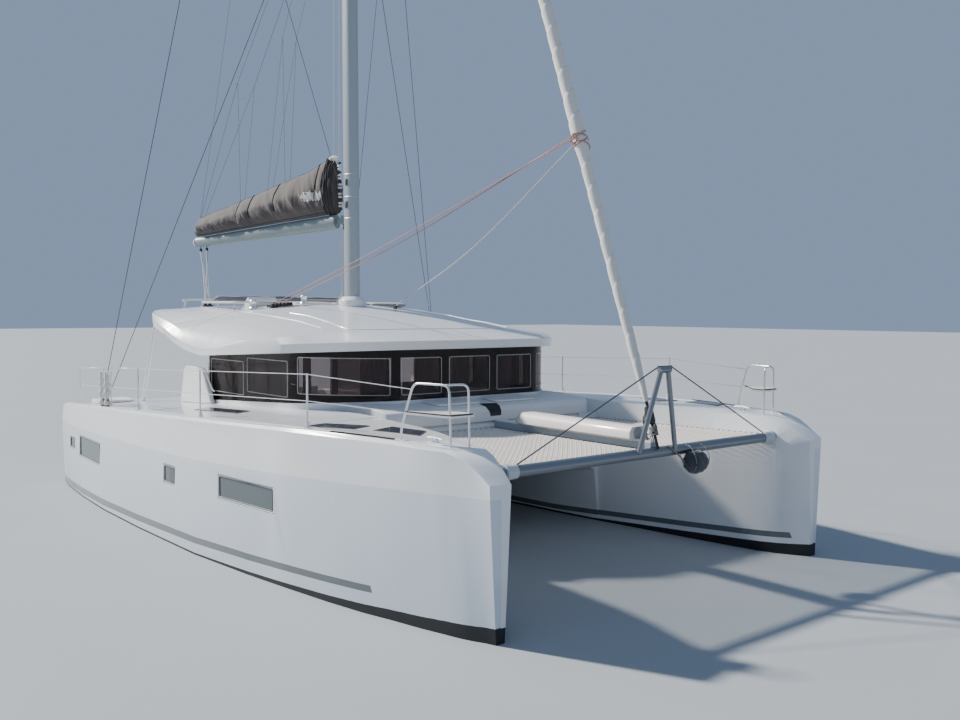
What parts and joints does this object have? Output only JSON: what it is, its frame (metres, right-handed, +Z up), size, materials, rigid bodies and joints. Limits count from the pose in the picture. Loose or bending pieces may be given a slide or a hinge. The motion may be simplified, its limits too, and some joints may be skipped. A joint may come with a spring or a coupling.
{
  "type": "sailing catamaran",
  "caption": "Cruising sailing catamaran afloat: decked hulls, glazed deckhouse under a hard roof, stowed sails, front crossbeam with nets, keels, rudders and propellers.",
  "frame": {"origin": "on the centreline at the waterline, amidships, 6.34 m behind the stems", "axes": "+X to the bow, +Y to port, +Z up, square to the water"},
  "size_m": [12.954, 7.81, 23.36],
  "materials": {
    "gelcoat": "glossy moulded gelcoat",
    "antifouling": "matt",
    "bronze": "satin",
    "black_trim": "matt",
    "tinted_glass": "polished, dark tint",
    "upholstery": "woven",
    "timber": "satin varnish",
    "stainless": "polished",
    "spar_alloy": "satin anodised",
    "rigging_wire": "dull",
    "canvas": "woven",
    "sailcloth": "woven, creased",
    "netting": "knotted net"
  },
  "bodies": {
    "root": {"hull_port": "gelcoat", "hull_starboard": "gelcoat", "keel_port": "antifouling", "keel_starboard": "antifouling", "saildrive_port": "antifouling", "saildrive_starboard": "antifouling", "bridge_deck": "gelcoat", "foredeck_locker": "gelcoat", "roof": "gelcoat", "deckhouse_frame": "black_trim", "deckhouse_base": "gelcoat", "glazing_front": "tinted_glass", "glazing_port": "tinted_glass", "glazing_starboard": "tinted_glass", "aft_bulkhead": "gelcoat", "saloon_settee": "upholstery", "saloon_table": "timber", "galley_counter": "timber", "cockpit_bench": "upholstery", "cockpit_table": "timber", "roof_post_port": "gelcoat", "roof_post_starboard": "gelcoat", "fin_panel_port": "gelcoat", "fin_panel_starboard": "gelcoat", "helm_platform": "gelcoat", "helm_console": "gelcoat", "helm_seat": "upholstery", "sun_lounge": "upholstery", "folded_bimini": "canvas", "mast": "spar_alloy", "mast_collar": "gelcoat", "spreaders": "spar_alloy", "shrouds_port": "stainless", "shrouds_starboard": "stainless", "furled_genoa": "sailcloth", "furler_drum": "black_trim", "crossbeam": "spar_alloy", "striker": "spar_alloy", "striker_stay": "rigging_wire", "longeron": "gelcoat", "net_port": "netting", "net_starboard": "netting", "pulpit_port": "stainless", "pulpit_starboard": "stainless", "lifelines_port": "stainless", "lifelines_starboard": "stainless", "line_bundle": "canvas"},
    "boom": {"boom": "spar_alloy", "sail_bag": "canvas"},
    "propeller_port": {"propeller_port": "bronze"},
    "propeller_starboard": {"propeller_starboard": "bronze"},
    "rudder_port": {"rudder_port": "antifouling"},
    "rudder_starboard": {"rudder_starboard": "antifouling"},
    "steering_wheel": {"steering_wheel": "stainless"},
    "saloon_door": {"saloon_door": "tinted_glass"},
    "locker_lid_port": {"locker_lid_port": "gelcoat"},
    "locker_lid_starboard": {"locker_lid_starboard": "gelcoat"},
    "engine_lid_port": {"engine_lid_port": "gelcoat"},
    "engine_lid_starboard": {"engine_lid_starboard": "gelcoat"},
    "boarding_ladder": {"boarding_ladder": "stainless"}
  },
  "joints": [
    {"name": "boom_swing", "type": "hinge", "parent": "root", "child": "boom", "pos_m": [-1.48, 0, 5.05], "axis": [0, 0, 1], "range_deg": [-60, 40]},
    {"name": "propeller_port_spin", "type": "hinge", "parent": "root", "child": "propeller_port", "pos_m": [-4.165, 2.93, -0.86], "axis": [1, 0, 0], "continuous": true},
    {"name": "propeller_starboard_spin", "type": "hinge", "parent": "root", "child": "propeller_starboard", "pos_m": [-4.165, -2.93, -0.86], "axis": [1, 0, 0], "continuous": true},
    {"name": "rudder_port_turn", "type": "hinge", "parent": "root", "child": "rudder_port", "pos_m": [-5.35, 2.93, -0.4], "axis": [0, 0, 1], "range_deg": [-35, 35]},
    {"name": "rudder_starboard_turn", "type": "hinge", "parent": "root", "child": "rudder_starboard", "pos_m": [-5.35, -2.93, -0.4], "axis": [0, 0, 1], "range_deg": [-35, 35]},
    {"name": "steering_wheel_turn", "type": "hinge", "parent": "root", "child": "steering_wheel", "pos_m": [-2.4, -1.3, 3.2], "axis": [1, 0, 0], "range_deg": [-420, 420]},
    {"name": "saloon_door_slide", "type": "slide", "parent": "root", "child": "saloon_door", "axis": [0, -1, 0], "range_m": [0, 0.92]},
    {"name": "locker_lid_port_hinge", "type": "hinge", "parent": "root", "child": "locker_lid_port", "pos_m": [2.28, 0.55, 2.097], "axis": [0, -1, 0], "range_deg": [0, 95]},
    {"name": "locker_lid_starboard_hinge", "type": "hinge", "parent": "root", "child": "locker_lid_starboard", "pos_m": [2.28, -0.55, 2.097], "axis": [0, -1, 0], "range_deg": [0, 95]},
    {"name": "engine_lid_port_hinge", "type": "hinge", "parent": "root", "child": "engine_lid_port", "pos_m": [-4.32, 3.1, 1.74], "axis": [0, 1, 0], "range_deg": [0, 80]},
    {"name": "engine_lid_starboard_hinge", "type": "hinge", "parent": "root", "child": "engine_lid_starboard", "pos_m": [-4.32, -3.1, 1.74], "axis": [0, 1, 0], "range_deg": [0, 80]},
    {"name": "boarding_ladder_hinge", "type": "hinge", "parent": "root", "child": "boarding_ladder", "pos_m": [-6.59, 2.91, 0.34], "axis": [0, -1, 0], "range_deg": [0, 165]}
  ],
  "couplings": [
    {"joint": "rudder_starboard_turn", "follows": "rudder_port_turn", "ratio": 1},
    {"joint": "steering_wheel_turn", "follows": "rudder_port_turn", "ratio": 12}
  ]
}
